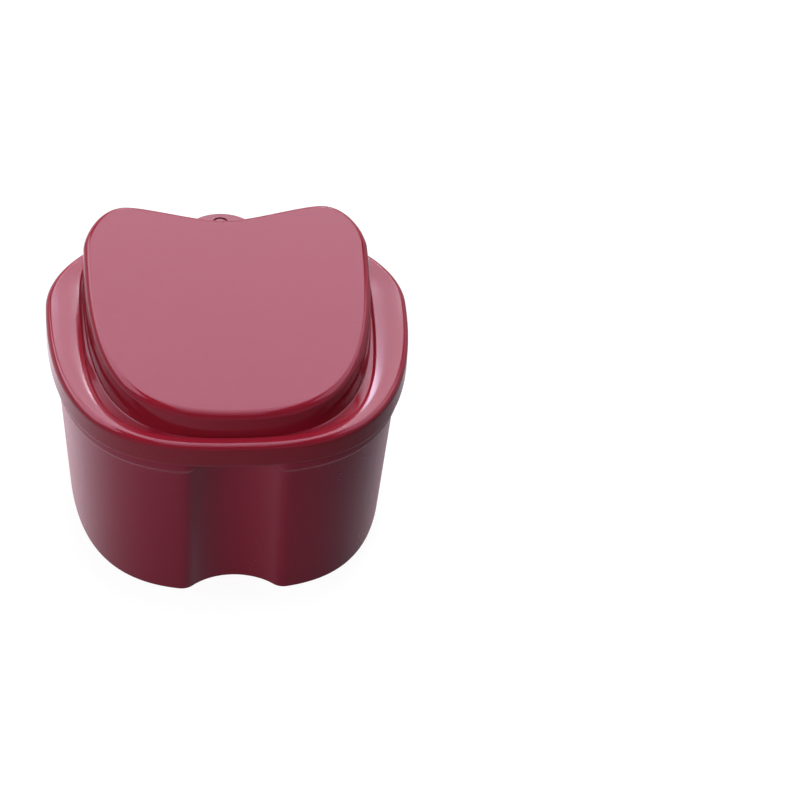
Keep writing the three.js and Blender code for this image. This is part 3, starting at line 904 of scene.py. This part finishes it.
class DENTURE_CASE_OT_handle(bpy.types.Operator):
    """Model the bow-shaped handle that folds round the rear of the basket"""
    bl_idname = "denture_case.handle"
    bl_label = "Make Handle"

    def execute(self, context):
        case = context.scene.denture_case_outline
        tub = context.scene.denture_case_tub
        basket = context.scene.denture_case_basket
        handle = context.scene.denture_case_handle
        lid = context.scene.denture_case_lid
        inner = tub.wall + basket.gap + basket.wall
        outer_bow = self.bow(inner + handle.gap)
        inner_bow = self.bow(inner + handle.gap + handle.width)
        ear = case.widest - handle.ear / 2
        loop = [Vector((outer_bow[0].x, ear)), *outer_bow, Vector((outer_bow[-1].x, ear)),
                Vector((inner_bow[-1].x, ear)), *reversed(inner_bow), Vector((inner_bow[0].x, ear))]
        mesh = bmesh.new()
        ring = bmesh.ops.create_circle(mesh, segments=len(loop), radius=1)["verts"]
        low = pivot_height() - handle.thickness / 2
        place_ring(ring, loop, low)
        upper = extruded_ring(mesh, ring)
        place_ring(upper, loop, low + handle.thickness)
        bmesh.ops.holes_fill(mesh, edges=mesh.edges, sides=0)
        bmesh.ops.recalc_face_normals(mesh, faces=mesh.faces)
        for made in (ring, upper):
            soften(mesh, made, handle.edge_radius, segments=3)
        piece = new_piece("handle_bow", mesh)
        reach = handle.width / 2 + handle.gap + handle.pivot_reach - handle.pivot_gap
        start = case.width / 2 - lid.wall - lid.fit - inner - handle.gap - handle.width / 2
        pins = bmesh.new()
        for side in (-1, 1):
            matrix = (Matrix.Translation((side * (start + reach / 2), case.widest, pivot_height()))
                      @ Matrix.Rotation(math.pi / 2, 4, "Y"))
            bar(pins, handle.pivot_radius, reach, matrix)
        with_boolean(piece, new_piece("pin_tool", pins), "UNION")
        smooth(piece)
        finish_piece(piece, "handle", "basket_handle", bpy.data.materials["basket_plastic"])
        return {"FINISHED"}

    def bow(self, inset):
        """Half-round path behind the widest place, from the +X side to the -X side."""
        case = bpy.context.scene.denture_case_outline
        side, end = wall_insets(bead_bottom())
        half = curve_points(*rear_handles(case.width / 2 - side - inset, case.rear - end - inset, case.widest,
                                          case.rear_shares), case.rear_steps)
        return half + [Vector((-p.x, p.y)) for p in reversed(half[:-1])]


COOL = (0.88, 0.88, 1)  # colour of the large lamps, a little towards blue

# Lamps: name, turn to the right of +Y and rise in degrees, width and height in metres, watts, colour
LAMPS = (
    ("overhead_softbox", 8, 72, (0.8, 1.7), 28.6, COOL),
    ("rear_softbox", 8, 37, (0.8, 0.4), 4.9, COOL),
    ("left_window", 9, 34, (0.14, 0.06), 1, (1, 0.97, 1)),
    ("right_window", -1, 34.5, (0.1, 0.1), 0.6, (0.75, 0.8, 1)),
)
# Lamps that nothing mirrors
FILL_LAMPS = (
    ("left_fill", -140, 25, (0.8, 0.8), 8, (1, 1, 1)),
)
# Panels that are only mirrored, in the rounded edges
MIRRORED_PANELS = (
    ("front_panel", 188, 67, (0.8, 0.55), 3.7, COOL),
    ("left_panel", -58, 47, (1.7, 0.9), 34, COOL),
    ("right_panel", 72, 47, (1.6, 0.9), 18, COOL),
)


class DENTURE_CASE_OT_stage(bpy.types.Operator):
    """Set the camera, the white floor and the studio lamps"""
    bl_idname = "denture_case.stage"
    bl_label = "Make Stage"

    def execute(self, context):
        scene = context.scene
        stage = scene.denture_case_stage
        self.camera(scene, stage)
        mesh = bmesh.new()
        bmesh.ops.create_grid(mesh, x_segments=1, y_segments=1, size=stage.floor_size / 2)
        floor = new_piece("floor", mesh, shift=False)
        floor.data.materials.append(stage_white("floor_white", stage))
        for lamp in (*LAMPS, *FILL_LAMPS, *MIRRORED_PANELS):
            self.lamp(scene, stage, *lamp, diffuse=lamp not in MIRRORED_PANELS, glossy=lamp not in FILL_LAMPS)
        self.world(scene, stage)
        scene.view_settings.view_transform = "Standard"
        return {"FINISHED"}

    def camera(self, scene, stage):
        camera = bpy.data.objects.new("camera", bpy.data.cameras.new("camera"))
        scene.collection.objects.link(camera)
        camera.data.lens = stage.lens
        camera.data.clip_start, camera.data.clip_end = 0.05, 50
        ahead = Vector((math.sin(stage.heading) * math.cos(stage.pitch),
                        math.cos(stage.heading) * math.cos(stage.pitch), -math.sin(stage.pitch)))
        right = Vector((math.cos(stage.heading), -math.sin(stage.heading), 0))
        up = right.cross(ahead)
        across = math.cos(stage.roll) * right + math.sin(stage.roll) * up
        upward = -math.sin(stage.roll) * right + math.cos(stage.roll) * up
        turn = Matrix((across, upward, -ahead)).transposed().to_4x4()
        camera.matrix_world = Matrix.Translation(stage.camera_place) @ turn
        scene.camera = camera

    def lamp(self, scene, stage, name, turn, rise, size, watts, colour, diffuse, glossy):
        """Area lamp that faces the case."""
        light = bpy.data.lights.new(name, "AREA")
        light.shape = "RECTANGLE"
        light.size, light.size_y = size
        light.energy = watts
        light.color = colour
        lamp = bpy.data.objects.new(name, light)
        scene.collection.objects.link(lamp)
        turn, rise = math.radians(turn), math.radians(rise)
        away = Vector((math.sin(turn) * math.cos(rise), math.cos(turn) * math.cos(rise), math.sin(rise)))
        lamp.location = away * stage.lamp_distance + Vector((0, 0, stage.lamp_aim))
        lamp.rotation_euler = away.to_track_quat("Z", "Y").to_euler()
        lamp.visible_diffuse = diffuse
        lamp.visible_glossy = glossy

    def world(self, scene, stage):
        """White walls under a dim ceiling, which give the object hardly any light."""
        world = bpy.data.worlds.new("studio")
        scene.world = world
        world.use_nodes = True
        nodes, links = world.node_tree.nodes, world.node_tree.links
        nodes.clear()
        height = nodes.new("ShaderNodeSeparateXYZ")
        links.new(nodes.new("ShaderNodeTexCoord").outputs["Generated"], height.inputs["Vector"])
        walls = mapped(nodes, links, height.outputs["Z"], stage.walls_top, stage.ceiling_edge,
                       low=1, high=stage.ceiling_white, smooth_ends=True)
        tinted = blended(nodes, links, 1, walls, seen_colour(nodes, links, stage.mirror_tint), "MULTIPLY")
        seen = seen_rays(nodes, links, 1 - stage.world_fill)
        air = nodes.new("ShaderNodeBackground")
        links.new(tinted, air.inputs["Color"])
        links.new(joined(nodes, links, "ADD", seen, stage.world_fill), air.inputs["Strength"])
        links.new(air.outputs["Background"], nodes.new("ShaderNodeOutputWorld").inputs["Surface"])


class DENTURE_CASE_PT_panel(bpy.types.Panel):
    bl_idname = "DENTURE_CASE_PT_panel"
    bl_label = "Denture Case"
    bl_space_type = "VIEW_3D"
    bl_region_type = "UI"
    bl_category = "Denture Case"

    def draw(self, context):
        for piece in OPERATORS:
            self.layout.operator(piece.bl_idname)
        for name, _ in SETTINGS:
            group = getattr(context.scene, name)
            box = self.layout.box()
            for key in group.bl_rna.properties.keys():
                if key not in ("rna_type", "name"):
                    box.prop(group, key)


SETTINGS = (
    ("denture_case_outline", DentureCaseOutline),
    ("denture_case_tub", DentureCaseTub),
    ("denture_case_lid", DentureCaseLid),
    ("denture_case_basket", DentureCaseBasket),
    ("denture_case_handle", DentureCaseHandle),
    ("denture_case_finish", DentureCaseFinish),
    ("denture_case_stage", DentureCaseStage),
)
OPERATORS = (
    DENTURE_CASE_OT_stage,
    DENTURE_CASE_OT_tub,
    DENTURE_CASE_OT_lid,
    DENTURE_CASE_OT_basket,
    DENTURE_CASE_OT_handle,
)


def register():
    for name, group in SETTINGS:
        bpy.utils.register_class(group)
        setattr(bpy.types.Scene, name, PointerProperty(type=group))
    for operator in OPERATORS:
        bpy.utils.register_class(operator)
    bpy.utils.register_class(DENTURE_CASE_PT_panel)


def unregister():
    bpy.utils.unregister_class(DENTURE_CASE_PT_panel)
    for operator in reversed(OPERATORS):
        bpy.utils.unregister_class(operator)
    for name, group in reversed(SETTINGS):
        delattr(bpy.types.Scene, name)
        bpy.utils.unregister_class(group)


def main():
    register()
    bpy.ops.denture_case.stage()
    bpy.ops.denture_case.tub()
    bpy.ops.denture_case.lid()
    bpy.ops.denture_case.basket()
    bpy.ops.denture_case.handle()


if __name__ == "__main__":
    main()
